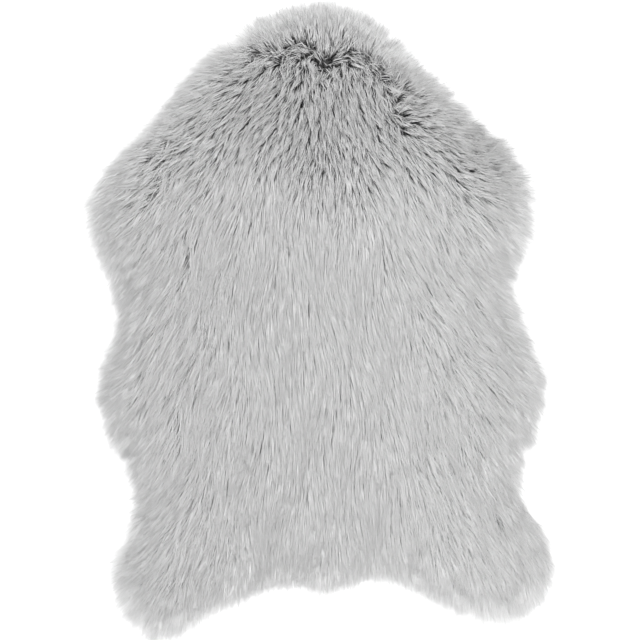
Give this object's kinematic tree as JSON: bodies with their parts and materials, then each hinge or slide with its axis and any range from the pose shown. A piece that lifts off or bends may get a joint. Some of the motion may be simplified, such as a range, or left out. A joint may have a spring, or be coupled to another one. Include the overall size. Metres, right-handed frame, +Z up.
{
  "type": "sheepskin-shaped shag rug",
  "caption": "Low pelt-shaped rug of long combed pile, with a head lobe, leg lobes, a parting behind the brow and loose locks fanning out round its rim.",
  "frame": {"origin": "middle of the outline's bounding box, on the flat underside", "axes": "+Y towards the head lobe, +Z up out of the pile, +X to the right seen from above"},
  "size_m": [0.6508, 0.8916, 0.0388],
  "materials": {
    "pile": "long soft combed pile, matt, light neutral grey"
  },
  "bodies": {
    "root": {"shag_pile": "pile"}
  },
  "joints": []
}
